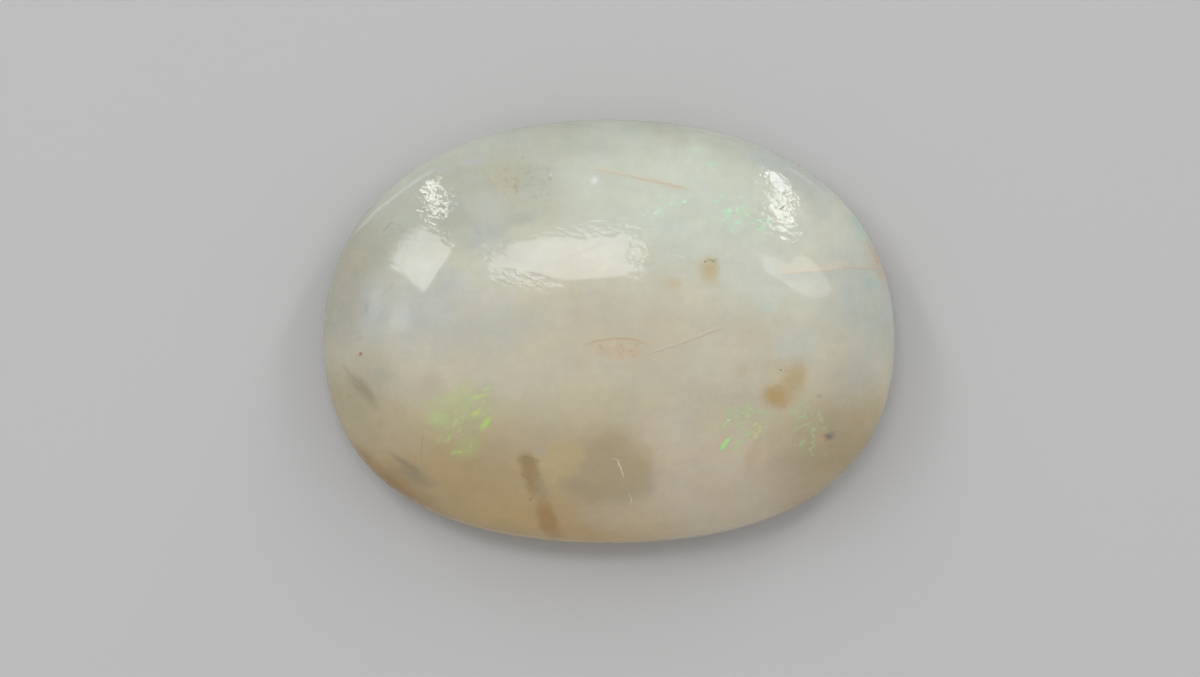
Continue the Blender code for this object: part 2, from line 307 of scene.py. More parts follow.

# Flecks that stand out: place, half length and half width, lean in degrees, strength, tone.
# A strength of more than 1 makes an open pit, whose dark tone is painted shade inside it.
FLECKS = {
    "vivid_green": ((5.55, -5.55), (0.15, 0.26), -18, 0.95, (0.46, 0.90, 0.32)),
    "vivid_green_arm": ((5.72, -5.3), (0.2, 0.1), 25, 0.9, (0.50, 0.90, 0.38)),
    "white_green": ((5.78, -4.35), (0.11, 0.1), 0, 0.95, (0.70, 0.90, 0.50)),
    "leaf_green": ((6.69, -4.1), (0.26, 0.13), 50, 0.75, (0.60, 0.74, 0.33)),
    "soft_leaf": ((6.1, -4.15), (0.3, 0.13), 15, 0.5, (0.57, 0.72, 0.42)),
    "yellow_grain": ((7.1, -5.12), (0.13, 0.11), 0, 0.9, (0.76, 0.80, 0.26)),
    "yellow_grain_upper": ((7.32, -4.85), (0.09, 0.09), 0, 0.8, (0.74, 0.76, 0.30)),
    "yellow_grain_left": ((6.95, -4.6), (0.08, 0.08), 0, 0.7, (0.72, 0.74, 0.34)),
    "sea_green": ((7.71, -4.05), (0.18, 0.15), 0, 0.6, (0.53, 0.66, 0.46)),
    "right_green": ((9.5, -4.15), (0.15, 0.2), 20, 0.65, (0.49, 0.64, 0.35)),
    "right_green_low": ((9.47, -5.4), (0.13, 0.28), -25, 0.65, (0.53, 0.64, 0.34)),
    "right_green_middle": ((9.92, -4.85), (0.14, 0.12), 0, 0.6, (0.51, 0.64, 0.38)),
    "fawn_yellow": ((7.82, -2.6), (0.1, 0.14), 0, 0.5, (0.66, 0.63, 0.35)),
    "mint_one": ((5.87, 5.84), (0.11, 0.09), 30, 0.95, (0.60, 0.92, 0.64)),
    "mint_two": ((6.19, 5.86), (0.08, 0.08), 0, 0.95, (0.55, 0.90, 0.62)),
    "mint_three": ((6.27, 5.27), (0.16, 0.08), -15, 0.95, (0.57, 0.90, 0.58)),
    "mint_four": ((7.3, 4.93), (0.17, 0.08), -15, 0.95, (0.57, 0.86, 0.55)),
    "mint_five": ((3.66, 6.27), (0.12, 0.1), 0, 0.9, (0.63, 0.90, 0.70)),
    "mint_six": ((2.25, 5.7), (0.1, 0.08), 0, 0.9, (0.70, 0.90, 0.74)),
    "mint_seven": ((2.42, 5.88), (0.18, 0.07), 10, 0.6, (0.63, 0.84, 0.66)),
    "mint_eight": ((1.67, 5.59), (0.1, 0.07), 0, 0.8, (0.62, 0.86, 0.66)),
    "mint_nine": ((5.54, 5.4), (0.14, 0.07), 10, 0.7, (0.60, 0.84, 0.62)),
    "mint_ten": ((6.95, 5.24), (0.12, 0.08), 0, 0.6, (0.60, 0.82, 0.60)),
    "pink_grain": ((11.9, -0.52), (0.09, 0.09), 0, 0.8, (0.78, 0.50, 0.42)),
    "pink_grain_low": ((12.03, -3.08), (0.09, 0.09), 0, 0.7, (0.70, 0.46, 0.36)),
    "pink_grain_end": ((12.97, -0.68), (0.08, 0.1), 0, 0.6, (0.74, 0.50, 0.44)),
    "amber_grain": ((11.42, -3.36), (0.1, 0.1), 0, 0.6, (0.66, 0.54, 0.30)),
    "amber_grain_low": ((11.75, -4.2), (0.09, 0.09), 0, 0.6, (0.66, 0.46, 0.30)),
    # painted shade: the dark tones inside the two open pits
    "shoulder_pit": ((8.42, 6.0), (0.2, 0.045), 45, 1.95, (0.22, 0.23, 0.22)),
    "fawn_pit": ((8.31, -1.88), (0.06, 0.06), 0, 1.95, (0.20, 0.12, 0.10)),
    "red_grain": ((-12.07, -1.1), (0.1, 0.085), -30, 0.95, (0.44, 0.20, 0.13)),
    "red_grain_tail": ((-12.1, -1.25), (0.035, 0.09), 10, 0.7, (0.50, 0.28, 0.20)),
    "green_grain": ((-12.66, -3.18), (0.13, 0.05), 30, 0.8, (0.34, 0.37, 0.22)),
    "knot_grain": ((4.62, 3.36), (0.05, 0.07), 10, 0.9, (0.33, 0.26, 0.15)),
    "knot_grain_two": ((4.77, 3.44), (0.03, 0.09), 8, 0.8, (0.36, 0.30, 0.18)),
    "knot_grain_three": ((4.92, 3.44), (0.03, 0.09), -8, 0.8, (0.36, 0.30, 0.18)),
    "knot_grain_four": ((5.06, 3.37), (0.035, 0.1), -24, 0.9, (0.31, 0.25, 0.15)),
    "shoulder_grain": ((-2.87, 7.40), (0.16, 0.09), 20, 0.7, (0.39, 0.40, 0.28)),
    "shoulder_grain_pale": ((-2.8, 7.60), (0.08, 0.06), 0, 0.9, (0.74, 0.76, 0.64)),
    "shoulder_grain_left": ((-4.55, 7.4), (0.2, 0.08), -30, 0.6, (0.41, 0.40, 0.28)),
    "low_dash": ((2.38, -5.68), (0.1, 0.035), -6, 0.6, (0.44, 0.37, 0.27)),
}

# Places where the polish is less fine, and ripples: middle, half size, turn, core, strength
RIPPLED = {
    "left_strip_side": ((-8.5, 6.5), (1.6, 1.8), 20, 0.4, 1.0),
    "right_strip_side": ((8.4, 6.6), (1.8, 2.8), 0, 0.5, 1.1),
    "left_shoulder": ((-10.0, 4.2), (1.3, 1.9), -30, 0.2, 0.9),
    "left_panel_side": ((-8.2, 4.9), (1.5, 0.6), -40, 0.1, 0.6),
    "left_panel_foot": ((-7.6, 2.9), (0.6, 1.4), -30, 0.1, 0.15),
    "middle_corner": ((-5.5, 4.2), (1.2, 0.9), 30, 0.3, 2.0),
    "middle_top": ((-0.8, 4.95), (3.3, 0.5), 4, 0.5, 1.8),
    "middle_end": ((1.7, 3.6), (0.9, 1.7), 0, 0.4, 2.2),
    "middle_foot": ((-4.1, 2.45), (2.0, 0.5), -10, 0.5, 2.0),
    "right_panel_side": ((9.0, 3.4), (1.6, 0.5), 0, 0.1, 0.15),
}
LEAST_RIPPLE = 0.03

# Billows of noise are given by their size, their detail and how far along the noise they are taken.
# These push the clouds, the hazes, the stains and the cracks out of true, by up to these reaches.
NOISE_WAY = (1.0, -0.7, 0.4)
DRIFT_BILLOWS = (4.2, 2.0, 4.0)
DRIFT_REACH = 0.9
FRAY_BILLOWS = (0.9, 4.0, 77.0)
FRAY_REACH = 0.4
STAIN_FRAY_SHARE = 0.55
CRACK_FRAY_SHARE = 0.22

# Where marks end: an oval in half sizes, a crack in squared half lengths, the room round a fleck and
# a crack in which they are drawn, and the heights on the girdle between which all marks fade out
FADE_END = 1.15
CRACK_FADE_START = 0.4
FLECK_CLEARANCE = 0.15
CRACK_CLEARANCE = 0.3
MARKS_WHOLE_AT = 1.0
MARKS_GONE_AT = 0.3
NO_CRACK = (0, 0, 1000)
FAINTEST_FLECK = 0.5

# Mottling of the milky body: billows with how much they lighten and darken it; the same in a drawn
# out veil; and billows that take it from the coolest tint to the warmest
MOTTLES = (((2.6, 4.0, 13.0), 0.16), ((0.8, 3.0, 27.0), 0.13))
VEIL_BILLOWS = (1.0, 3.0, 39.0)
VEIL_STRETCH = (0.28, 2.4, 1.2)
VEIL_DEPTH = 0.07
WARMTH_BILLOWS = (1.7, 4.0, 51.0)
COOLEST_TINT = (0.96, 1.0, 1.08)
WARMEST_TINT = (1.04, 1.0, 0.92)


def add(tree, kind, inputs=None, **settings):
    """A new node in tree. An input is a value, or the socket that feeds it."""
    node = tree.nodes.new(kind)
    for name, value in settings.items():
        setattr(node, name, value)
    for name, value in (inputs or {}).items():
        if isinstance(value, bpy.types.NodeSocket):
            tree.links.new(value, node.inputs[name])
        else:
            node.inputs[name].default_value = value
    return node


def reckon(tree, operation, *values, clamp=False):
    """The result of one Math node."""
    inputs = dict(enumerate(values))
    return add(tree, "ShaderNodeMath", inputs, operation=operation, use_clamp=clamp).outputs[0]


def times(tree, one, other):
    """One number times another."""
    return reckon(tree, "MULTIPLY", one, other)


def plus(tree, one, other):
    """One number and another."""
    return reckon(tree, "ADD", one, other)


def minus(tree, one, other):
    """One number less another."""
    return reckon(tree, "SUBTRACT", one, other)


def along(tree, operation, *values):
    """The result of one Vector Math node."""
    node = add(tree, "ShaderNodeVectorMath", dict(enumerate(values)), operation=operation)
    return node.outputs["Value"] if operation in ("LENGTH", "DISTANCE", "DOT_PRODUCT") else node.outputs[0]


def scaled(tree, vector, factor):
    """A vector, or a colour, times a number."""
    return add(tree, "ShaderNodeVectorMath", {0: vector, 3: factor}, operation="SCALE").outputs[0]


def parts(tree, vector):
    """The x, y and z of a vector."""
    return add(tree, "ShaderNodeSeparateXYZ", {0: vector}).outputs


def joined(tree, *values):
    """A vector of these."""
    return add(tree, "ShaderNodeCombineXYZ", dict(enumerate(values))).outputs[0]


def falling(tree, value, whole, gone, top=1.0):
    """Top where value is at whole, easing down to 0 at gone."""
    limits = {"Value": value, "From Min": gone, "From Max": whole, "To Max": top}
    return add(tree, "ShaderNodeMapRange", limits, interpolation_type="SMOOTHSTEP").outputs[0]


def blend(tree, mask, ground, tone):
    """Ground, with tone over it where the mask is 1."""
    tone = tone if isinstance(tone, bpy.types.NodeSocket) else (*tone, 1)
    return add(tree, "ShaderNodeMix", {0: mask, 6: ground, 7: tone}, data_type="RGBA").outputs[2]


def billows(tree, place, size, detail, shift):
    """Soft noise in billows of this size. The shift picks another part of the same noise."""
    moved = along(tree, "ADD", place, tuple(shift * share for share in NOISE_WAY))
    return add(tree, "ShaderNodeTexNoise", {"Vector": moved, "Scale": 1 / size, "Detail": detail})


def cloud(tree, place, size, detail, shift):
    """One number from such noise, from about -0.5 to 0.5."""
    return minus(tree, billows(tree, place, size, detail, shift).outputs[0], 0.5)


def push(tree, place, size, detail, shift, reach):
    """Three such numbers as a push on places, up to about reach."""
    noise = billows(tree, place, size, detail, shift).outputs["Color"]
    return scaled(tree, along(tree, "SUBTRACT", noise, (0.5, 0.5, 0.5)), 2 * reach)


def node_group(kind, name, inputs, outputs):
    """An empty group with these named sockets, and what flows into it."""
    tree = bpy.data.node_groups.new(name, kind)
    for title, socket in inputs.items():
        tree.interface.new_socket(title, in_out="INPUT", socket_type="NodeSocket" + socket)
    for title, socket in outputs.items():
        tree.interface.new_socket(title, in_out="OUTPUT", socket_type="NodeSocket" + socket)
    return tree, add(tree, "NodeGroupInput").outputs


def placed(tree, group, inputs, label):
    """The outputs of a group placed in tree with its own values."""
    return add(tree, "GeometryNodeGroup", inputs, node_tree=group, label=label).outputs


def opaque(tones):
    """The tones with full alpha."""
    return [(*tone, 1) for tone in tones]


def soft_oval():
    """A cloud or spot seen from above: whole out to Core of its half size, fading to its edge."""
    inputs = {"Place": "Vector", "Middle": "Vector", "Lengthwise": "Vector", "Crosswise": "Vector",
              "Core": "Float", "Strength": "Float"}
    tree, given = node_group("GeometryNodeTree", "soft_oval", inputs, {"Mask": "Float"})
    offset = along(tree, "SUBTRACT", given["Place"], given["Middle"])
    run = along(tree, "DOT_PRODUCT", offset, given["Lengthwise"])
    rise = along(tree, "DOT_PRODUCT", offset, given["Crosswise"])
    spread = along(tree, "LENGTH", joined(tree, run, rise))
    add(tree, "NodeGroupOutput", {"Mask": falling(tree, spread, given["Core"], FADE_END, given["Strength"])})
    return tree


def lying(middle, turn, length, width=1.0):
    """The middle of a mark and its two axes, which measure in this length and this width."""
    lean, lift = math.cos(math.radians(turn)), math.sin(math.radians(turn))
    return {"Middle": (*middle, 0), "Lengthwise": (lean / length, lift / length, 0),
            "Crosswise": (-lift / width, lean / width, 0)}


def oval_mask(tree, oval, place, middle, half_size, turn, core, strength, name):
    """How strongly a soft oval covers a place."""
    values = {"Place": place, "Core": core, "Strength": strength, **lying(middle, turn, *half_size)}
    return placed(tree, oval, values, name)["Mask"]


def with_marks(tree, oval, place, marks, ground):
    """Ground with each named mark laid over it."""
    for name, (*shape, tone) in marks.items():
        ground = blend(tree, oval_mask(tree, oval, place, *shape, name), ground, tone)
    return ground


# The same group also draws the painted rim reflections.
def healed_crack():
    """A crack that silica has closed: a bowed line with a soft tone on either side of it. The line goes
    on as a height above it, in half widths, and its strength, for the nearest crack only."""
    flowing = {"Ground": "Color", "Nearest": "Vector", "Nearest Tone": "Color"}
    inputs = {**dict.fromkeys(("Place", "Middle", "Lengthwise", "Crosswise"), "Vector"),
              **dict.fromkeys(("Half Width", "Taper", "Rise", "Side Width", "Strength"), "Float"),
              **dict.fromkeys(("Line Tone", "Above Tone", "Below Tone"), "Color"), **flowing}
    tree, given = node_group("GeometryNodeTree", "healed_crack", inputs, flowing)
    offset = along(tree, "SUBTRACT", given["Place"], given["Middle"])
    run = along(tree, "DOT_PRODUCT", offset, given["Lengthwise"])
    height = along(tree, "DOT_PRODUCT", offset, given["Crosswise"])
    squared = times(tree, run, run)
    height = reckon(tree, "MULTIPLY_ADD", minus(tree, squared, 1.0), given["Rise"], height)
    distance = reckon(tree, "ABSOLUTE", height)
    ends = falling(tree, squared, CRACK_FADE_START, 1.0, given["Strength"])
    side = falling(tree, distance, 0.0, given["Side Width"], ends)
    above = times(tree, side, reckon(tree, "GREATER_THAN", height, 0.0))
    ground = blend(tree, above, given["Ground"], given["Above Tone"])
    ground = blend(tree, minus(tree, side, above), ground, given["Below Tone"])

    width = times(tree, given["Half Width"], reckon(tree, "MULTIPLY_ADD", run, given["Taper"], 1.0))
    shown = times(tree, ends, reckon(tree, "LESS_THAN", distance, CRACK_CLEARANCE))
    past_end = reckon(tree, "MAXIMUM", minus(tree, squared, 1.0), 0.0)
    reach = plus(tree, distance, past_end)
    nearer = reckon(tree, "LESS_THAN", reach, parts(tree, given["Nearest"])[2])
    line = joined(tree, reckon(tree, "DIVIDE", height, width), shown, reach)

    def nearest(kind, so_far, own):
        choice = {"Switch": nearer, "False": so_far, "True": own}
        return add(tree, "GeometryNodeSwitch", choice, input_type=kind).outputs[0]

    line = nearest("VECTOR", given["Nearest"], line)
    tone = nearest("RGBA", given["Nearest Tone"], given["Line Tone"])
    add(tree, "NodeGroupOutput", {"Ground": ground, "Nearest": line, "Nearest Tone": tone})
    return tree


def with_cracks_and_rim_reflections(tree, place, ground):
    """Ground with the tones beside the healed cracks and the painted rim reflections, and the lines
    themselves for the finish to draw.
    """
    crack = healed_crack()
    flowing = {"Ground": ground, "Nearest": NO_CRACK, "Nearest Tone": (0, 0, 0, 1)}
    for name, (middle, turn, length, width, taper, rise, side, strength, *tones) in CRACKS_AND_RIM_REFLECTIONS.items():
        line_tone, above_tone, below_tone = opaque(tones)
        inputs = {"Place": place, **lying(middle, turn, length), "Half Width": width, "Taper": taper,
                  "Rise": rise, "Side Width": side, "Strength": strength, "Line Tone": line_tone,
                  "Above Tone": above_tone, "Below Tone": below_tone, **flowing}
        made = placed(tree, crack, inputs, name)
        flowing = {title: made[title] for title in flowing}
    return flowing["Ground"], flowing["Nearest"], flowing["Nearest Tone"]


def kept(tree, geometry, name, kind, value):
    """The geometry, with value kept on its points as a named attribute."""
    inputs = {"Geometry": geometry, "Name": name, "Value": value}
    return add(tree, "GeometryNodeStoreNamedAttribute", inputs, data_type=kind).outputs[0]


def chance(tree, seed, step):
    """A random number from 0 to 1 for each point."""
    return add(tree, "FunctionNodeRandomValue", {"Seed": plus(tree, seed, step)}).outputs[1]


def with_looks(tree, flecks, reach, tone, strength):
    """Points of flecks that carry their half sizes and lean, their tone and their strength."""
    flecks = kept(tree, flecks, "reach", "FLOAT_VECTOR", reach)
    flecks = kept(tree, flecks, "fleck_tone", "FLOAT_COLOR", tone)
    return kept(tree, flecks, "strength", "FLOAT", strength)


def square_sheet(tree, corners):
    """A flat square mesh from -1 to 1, with this many corners along each side."""
    return add(tree, "GeometryNodeMeshGrid", {"Size X": 2.0, "Size Y": 2.0, "Vertices X": corners,
                                              "Vertices Y": corners}).outputs[0]


def fleck_field():
    """Flecks strewn over an oval, thinner towards its edge, each with a size, lean and tone of its own."""
    sizes = ("Density", "Smallest", "Largest", "Slimness", "Lean", "Lean Spread", "Strength")
    inputs = {**dict.fromkeys(("Middle", "Half Size", "Turn"), "Vector"), **dict.fromkeys(sizes, "Float"),
              "Dull": "Color", "Bright": "Color", "Seed": "Int"}
    tree, given = node_group("GeometryNodeTree", "fleck_field", inputs, {"Flecks": "Geometry"})
    sheet = square_sheet(tree, 2)
    sheet = add(tree, "GeometryNodeTransform", {"Geometry": sheet, "Scale": given["Half Size"]})
    strewing = {"Mesh": sheet.outputs[0], "Density": given["Density"], "Seed": given["Seed"]}
    strewn = add(tree, "GeometryNodeDistributePointsOnFaces", strewing).outputs[0]
    place = add(tree, "GeometryNodeInputPosition").outputs[0]
    outward = along(tree, "LENGTH", along(tree, "DIVIDE", place, given["Half Size"]))
    stays = reckon(tree, "GREATER_THAN", chance(tree, given["Seed"], 1), outward)
    strewn = add(tree, "GeometryNodeSeparateGeometry", {"Geometry": strewn, "Selection": stays}).outputs[0]

    pick = chance(tree, given["Seed"], 2)
    growth = minus(tree, given["Largest"], given["Smallest"])
    length = reckon(tree, "MULTIPLY_ADD", pick, growth, given["Smallest"])
    sway = minus(tree, chance(tree, given["Seed"], 3), 0.5)
    lean = reckon(tree, "MULTIPLY_ADD", sway, given["Lean Spread"], given["Lean"])
    reach = joined(tree, length, times(tree, length, given["Slimness"]), lean)
    brightness = chance(tree, given["Seed"], 4)
    tone = blend(tree, brightness, given["Dull"], given["Bright"])
    strength = chance(tree, given["Seed"], 5)
    strength = reckon(tree, "MULTIPLY_ADD", strength, 1 - FAINTEST_FLECK, FAINTEST_FLECK)
    strength = times(tree, strength, given["Strength"])
    strewn = with_looks(tree, strewn, reach, tone, strength)
    moving = {"Geometry": strewn, "Translation": given["Middle"], "Rotation": given["Turn"]}
    add(tree, "NodeGroupOutput", {"Flecks": add(tree, "GeometryNodeTransform", moving).outputs[0]})
    return tree


def all_flecks(tree):
    """One point for each fleck in the stone, with what it looks like."""
    together = add(tree, "GeometryNodeJoinGeometry")
    field = fleck_field()
    for seed, (name, values) in enumerate(FLECK_FIELDS.items()):
        middle, half_size, turn, density, sizes, slimness, lean, spread, strength, dull, bright = values
        dull, bright = opaque((dull, bright))
        flecks = placed(tree, field, {"Middle": (*middle, 0), "Half Size": (*half_size, 1),
                                      "Turn": (0, 0, math.radians(turn)), "Density": density,
                                      "Smallest": sizes[0], "Largest": sizes[1], "Slimness": slimness,
                                      "Lean": math.radians(lean), "Lean Spread": math.radians(spread),
                                      "Strength": strength, "Dull": dull, "Bright": bright,
                                      "Seed": 10 * seed + 1}, name)["Flecks"]
        tree.links.new(flecks, together.inputs[0])
    for name, (middle, half_size, lean, strength, tone) in FLECKS.items():
        point = add(tree, "GeometryNodePoints", {"Position": (*middle, 0)}, label=name).outputs[0]
        point = with_looks(tree, point, (*half_size, math.radians(lean)), (*tone, 1), strength)
        tree.links.new(point, together.inputs[0])
    return together.outputs[0]


def turned_about_up(tree, vector, angle):
    """The vector turned about the z axis by an angle in radians."""
    inputs = {"Vector": vector, "Angle": angle}
    return add(tree, "ShaderNodeVectorRotate", inputs, rotation_type="Z_AXIS").outputs[0]


def nearest_fleck(tree, place):
    """The place seen from the nearest fleck, in its own half sizes, with its strength; and its tone."""
    flecks = all_flecks(tree)
    flat = along(tree, "MULTIPLY", place, (1, 1, 0))
    index = add(tree, "GeometryNodeSampleNearest", {"Geometry": flecks, "Sample Position": flat}).outputs[0]

    def found(kind, value):
        return add(tree, "GeometryNodeSampleIndex", {"Geometry": flecks, "Value": value, "Index": index},
                   data_type=kind).outputs[0]

    def attribute(kind, name):
        return add(tree, "GeometryNodeInputNamedAttribute", {"Name": name}, data_type=kind).outputs[0]

    middle = found("FLOAT_VECTOR", add(tree, "GeometryNodeInputPosition").outputs[0])
    reach = parts(tree, found("FLOAT_VECTOR", attribute("FLOAT_VECTOR", "reach")))
    tone = found("FLOAT_COLOR", attribute("FLOAT_COLOR", "fleck_tone"))
    strength = found("FLOAT", attribute("FLOAT", "strength"))
    offset = along(tree, "SUBTRACT", flat, middle)
    clear = plus(tree, reckon(tree, "MAXIMUM", reach[0], reach[1]), FLECK_CLEARANCE)
    shown = reckon(tree, "LESS_THAN", along(tree, "LENGTH", offset), clear)
    turned = parts(tree, turned_about_up(tree, offset, times(tree, reach[2], -1.0)))
    seen = [reckon(tree, "DIVIDE", turned[axis], reach[axis]) for axis in range(2)]
    return joined(tree, *seen, times(tree, strength, shown)), tone


def toned_along(tree, value, tones):
    """A ramp of tones, each at its own place along value."""
    first, last = tones[0][0], tones[-1][0]
    share = add(tree, "ShaderNodeMapRange", {"Value": value, "From Min": first, "From Max": last}).outputs[0]
    ramp = add(tree, "ShaderNodeValToRGB", {"Fac": share})
    stops = ramp.color_ramp.elements
    stops[0].color = (*tones[0][1], 1)
    stops[1].color = (*tones[-1][1], 1)
    for where, tone in tones[1:-1]:
        stops.new((where - first) / (last - first)).color = (*tone, 1)
    ramp.color_ramp.interpolation = "CARDINAL"
    return ramp.outputs[0]


def mottled(tree, place, ground):
    """Ground lightened, darkened, warmed and cooled a little by billows of several sizes."""
    light = 1.0
    for noise, depth in MOTTLES:
        light = reckon(tree, "MULTIPLY_ADD", cloud(tree, place, *noise), depth, light)
    veiled = along(tree, "MULTIPLY", place, VEIL_STRETCH)
    light = reckon(tree, "MULTIPLY_ADD", cloud(tree, veiled, *VEIL_BILLOWS), VEIL_DEPTH, light)
    warmth = plus(tree, cloud(tree, place, *WARMTH_BILLOWS), 0.5)
    tint = blend(tree, warmth, (*COOLEST_TINT, 1), WARMEST_TINT)
    return along(tree, "MULTIPLY", scaled(tree, ground, light), tint)


def with_tones(tree, geometry, place):
    """The stone's mesh with its tones and marks kept on it for the finish."""
    oval = soft_oval()
    fray = push(tree, place, *FRAY_BILLOWS, FRAY_REACH)
    frayed = along(tree, "ADD", place, fray)
    drifting = along(tree, "ADD", frayed, push(tree, place, *DRIFT_BILLOWS, DRIFT_REACH))
    torn = along(tree, "ADD", place, scaled(tree, fray, STAIN_FRAY_SHARE))
    # The ramp's darker tone at the upper rim is painted shade
    body = toned_along(tree, parts(tree, drifting)[1], BODY_TONES_AND_RIM_SHADE)
    body = with_marks(tree, oval, drifting, CLOUDS, body)
    plain = with_marks(tree, oval, frayed, HAZES, body)
    plain = mottled(tree, place, plain)
    _, across, height = parts(tree, place)
    on_back = falling(tree, height, BACK_TONE_FROM, BACK_TONE_TO)
    plain = blend(tree, on_back, plain, toned_along(tree, across, BACK_TONES))
    body = with_marks(tree, oval, torn, STAINS, plain)
    bent = along(tree, "ADD", place, scaled(tree, fray, CRACK_FRAY_SHARE))
    body, crack, crack_and_reflection_tone = with_cracks_and_rim_reflections(tree, bent, body)
    fleck, fleck_tone = nearest_fleck(tree, place)
    ripple = LEAST_RIPPLE
    for name, shape in RIPPLED.items():
        ripple = reckon(tree, "MAXIMUM", ripple, oval_mask(tree, oval, place, *shape, name))

    on_dome = falling(tree, height, MARKS_WHOLE_AT, MARKS_GONE_AT)
    above_line, line_strength, _ = parts(tree, crack)
    line = joined(tree, above_line, times(tree, line_strength, on_dome), ripple)
    fleck = along(tree, "MULTIPLY", fleck, joined(tree, 1.0, 1.0, on_dome))
    geometry = kept(tree, geometry, "body_tone_and_painted_light", "FLOAT_COLOR", blend(tree, on_dome, plain, body))
    geometry = kept(tree, geometry, "crack", "FLOAT_VECTOR", line)
    geometry = kept(tree, geometry, "crack_and_reflection_tone", "FLOAT_COLOR", crack_and_reflection_tone)
    geometry = kept(tree, geometry, "fleck", "FLOAT_VECTOR", fleck)
    return kept(tree, geometry, "fleck_tone", "FLOAT_COLOR", fleck_tone)


def sheet_way(tree, given):
    """For each point of a flat square sheet, the way from the middle of a ball to where it lies when
    the sheet is drawn over the ball's top and gathered under it. Its rings become the ball's rings."""
    flat = parts(tree, add(tree, "GeometryNodeInputPosition").outputs[0])
    ring = reckon(tree, "MAXIMUM", reckon(tree, "ABSOLUTE", flat[0]), reckon(tree, "ABSOLUTE", flat[1]))
    heading = []
    for side in flat[:2]:
        eighth = times(tree, reckon(tree, "DIVIDE", side, ring), math.pi / 4)
        heading.append(reckon(tree, "TANGENT", eighth))
    heading = along(tree, "NORMALIZE", joined(tree, *heading))

    over = reckon(tree, "DIVIDE", ring, given["Dome Share"], clamp=True)
    under = add(tree, "ShaderNodeMapRange", {"Value": ring, "From Min": given["Dome Share"]}).outputs[0]
    turn = times(tree, reckon(tree, "POWER", over, TOP_SPREAD_POWER), math.pi / 2 - TOP_SPREAD)
    turn = reckon(tree, "MULTIPLY_ADD", over, TOP_SPREAD, turn)
    turn = reckon(tree, "MULTIPLY_ADD", under, BACK_EDGE_SPREAD, turn)

    # The rings lie closest together where the sheet passes the edge of the back
    bend = reckon(tree, "POWER", minus(tree, under, BACK_EDGE_PLACE), BACK_BEND_POWER)
    before, after = BACK_EDGE_PLACE**BACK_BEND_POWER, (1 - BACK_EDGE_PLACE) ** BACK_BEND_POWER
    bend = plus(tree, bend, before)
    rest = (math.pi / 2 - BACK_EDGE_SPREAD) / (before + after)
    turn = reckon(tree, "MULTIPLY_ADD", bend, rest, turn)
    level = parts(tree, scaled(tree, heading, reckon(tree, "SINE", turn)))
    return level[0], level[1], reckon(tree, "COSINE", turn)


def opal_form():
    """The tree that makes the stone: a sheet of cells wrapped round a ball, then drawn out to shape."""
    sizes = ("Length", "Width", "Dome Height", "Girdle Height", "Back Depth", "Back Edge Round",
             "Corner Fullness", "End Drop", "Dome Share", "Polish Wave Height", "Polish Wave Size", "Seed")
    inputs = {"Geometry": "Geometry", "Cells Across": "Int", **dict.fromkeys(sizes, "Float"),
              "Finish": "Material"}
    tree, given = node_group("GeometryNodeTree", "opal_form", inputs, {"Geometry": "Geometry"})

    corners = plus(tree, given["Cells Across"], 1)
    sheet = square_sheet(tree, corners)
    way = sheet_way(tree, given)

    # The outline is fuller than an ellipse between its axes, and its ends lie a little towards -Y
    squared = plus(tree, times(tree, way[0], way[0]), times(tree, way[1], way[1]))
    corner = times(tree, times(tree, way[0], way[1]), 2.0)
    corner = reckon(tree, "DIVIDE", times(tree, corner, corner), squared)
    fullness = reckon(tree, "MULTIPLY_ADD", corner, given["Corner Fullness"], 1.0)
    lengthwise = times(tree, way[0], fullness)
    crosswise = times(tree, way[1], fullness)
    x = times(tree, lengthwise, times(tree, given["Length"], 0.5))
    y = times(tree, crosswise, times(tree, given["Width"], 0.5))
    drop = times(tree, times(tree, lengthwise, lengthwise), given["End Drop"])
    y = minus(tree, y, drop)

    # Above the girdle it is a dome, below it a shallower one that the flat back cuts off
    dome = times(tree, reckon(tree, "MAXIMUM", way[2], 0.0), given["Dome Height"])
    belly = times(tree, reckon(tree, "MINIMUM", way[2], 0.0), given["Back Depth"])
    z = plus(tree, plus(tree, dome, belly), given["Girdle Height"])
    z = reckon(tree, "SMOOTH_MAX", z, 0.0, given["Back Edge Round"])
    shaped = add(tree, "GeometryNodeSetPosition", {"Geometry": sheet, "Position": joined(tree, x, y, z)})
    welded = {"Geometry": shaped.outputs[0], "Distance": MERGE_DISTANCE}
    shaped = add(tree, "GeometryNodeMergeByDistance", welded)

    # Hand polishing leaves the dome very slightly wavy. The waves die out before the flat back.
    here = add(tree, "GeometryNodeInputPosition").outputs[0]
    wave_scale = reckon(tree, "DIVIDE", 1.0, given["Polish Wave Size"])
    noise = {"Vector": here, "W": given["Seed"], "Detail": POLISH_WAVE_DETAIL, "Scale": wave_scale,
             "Roughness": POLISH_WAVE_ROUGHNESS}
    waves = add(tree, "ShaderNodeTexNoise", noise, noise_dimensions="4D").outputs[0]
    fade = falling(tree, parts(tree, here)[2], given["Girdle Height"], 0.0)
    swell = times(tree, minus(tree, waves, 0.5), fade)
    swell = times(tree, swell, given["Polish Wave Height"])
    outward = add(tree, "GeometryNodeInputNormal").outputs[0]
    waved = add(tree, "GeometryNodeSetPosition", {"Geometry": shaped.outputs[0],
                                                  "Offset": scaled(tree, outward, swell)}).outputs[0]

    toned = with_tones(tree, waved, scaled(tree, here, MM_PER_METRE))
    smooth = add(tree, "GeometryNodeSetShadeSmooth", {"Geometry": toned}).outputs[0]
    real = add(tree, "GeometryNodeRealizeInstances", {"Geometry": smooth}).outputs[0]
    dressed = add(tree, "GeometryNodeSetMaterial", {"Geometry": real, "Material": given["Finish"]})
    add(tree, "NodeGroupOutput", {0: dressed.outputs[0]})
    return tree


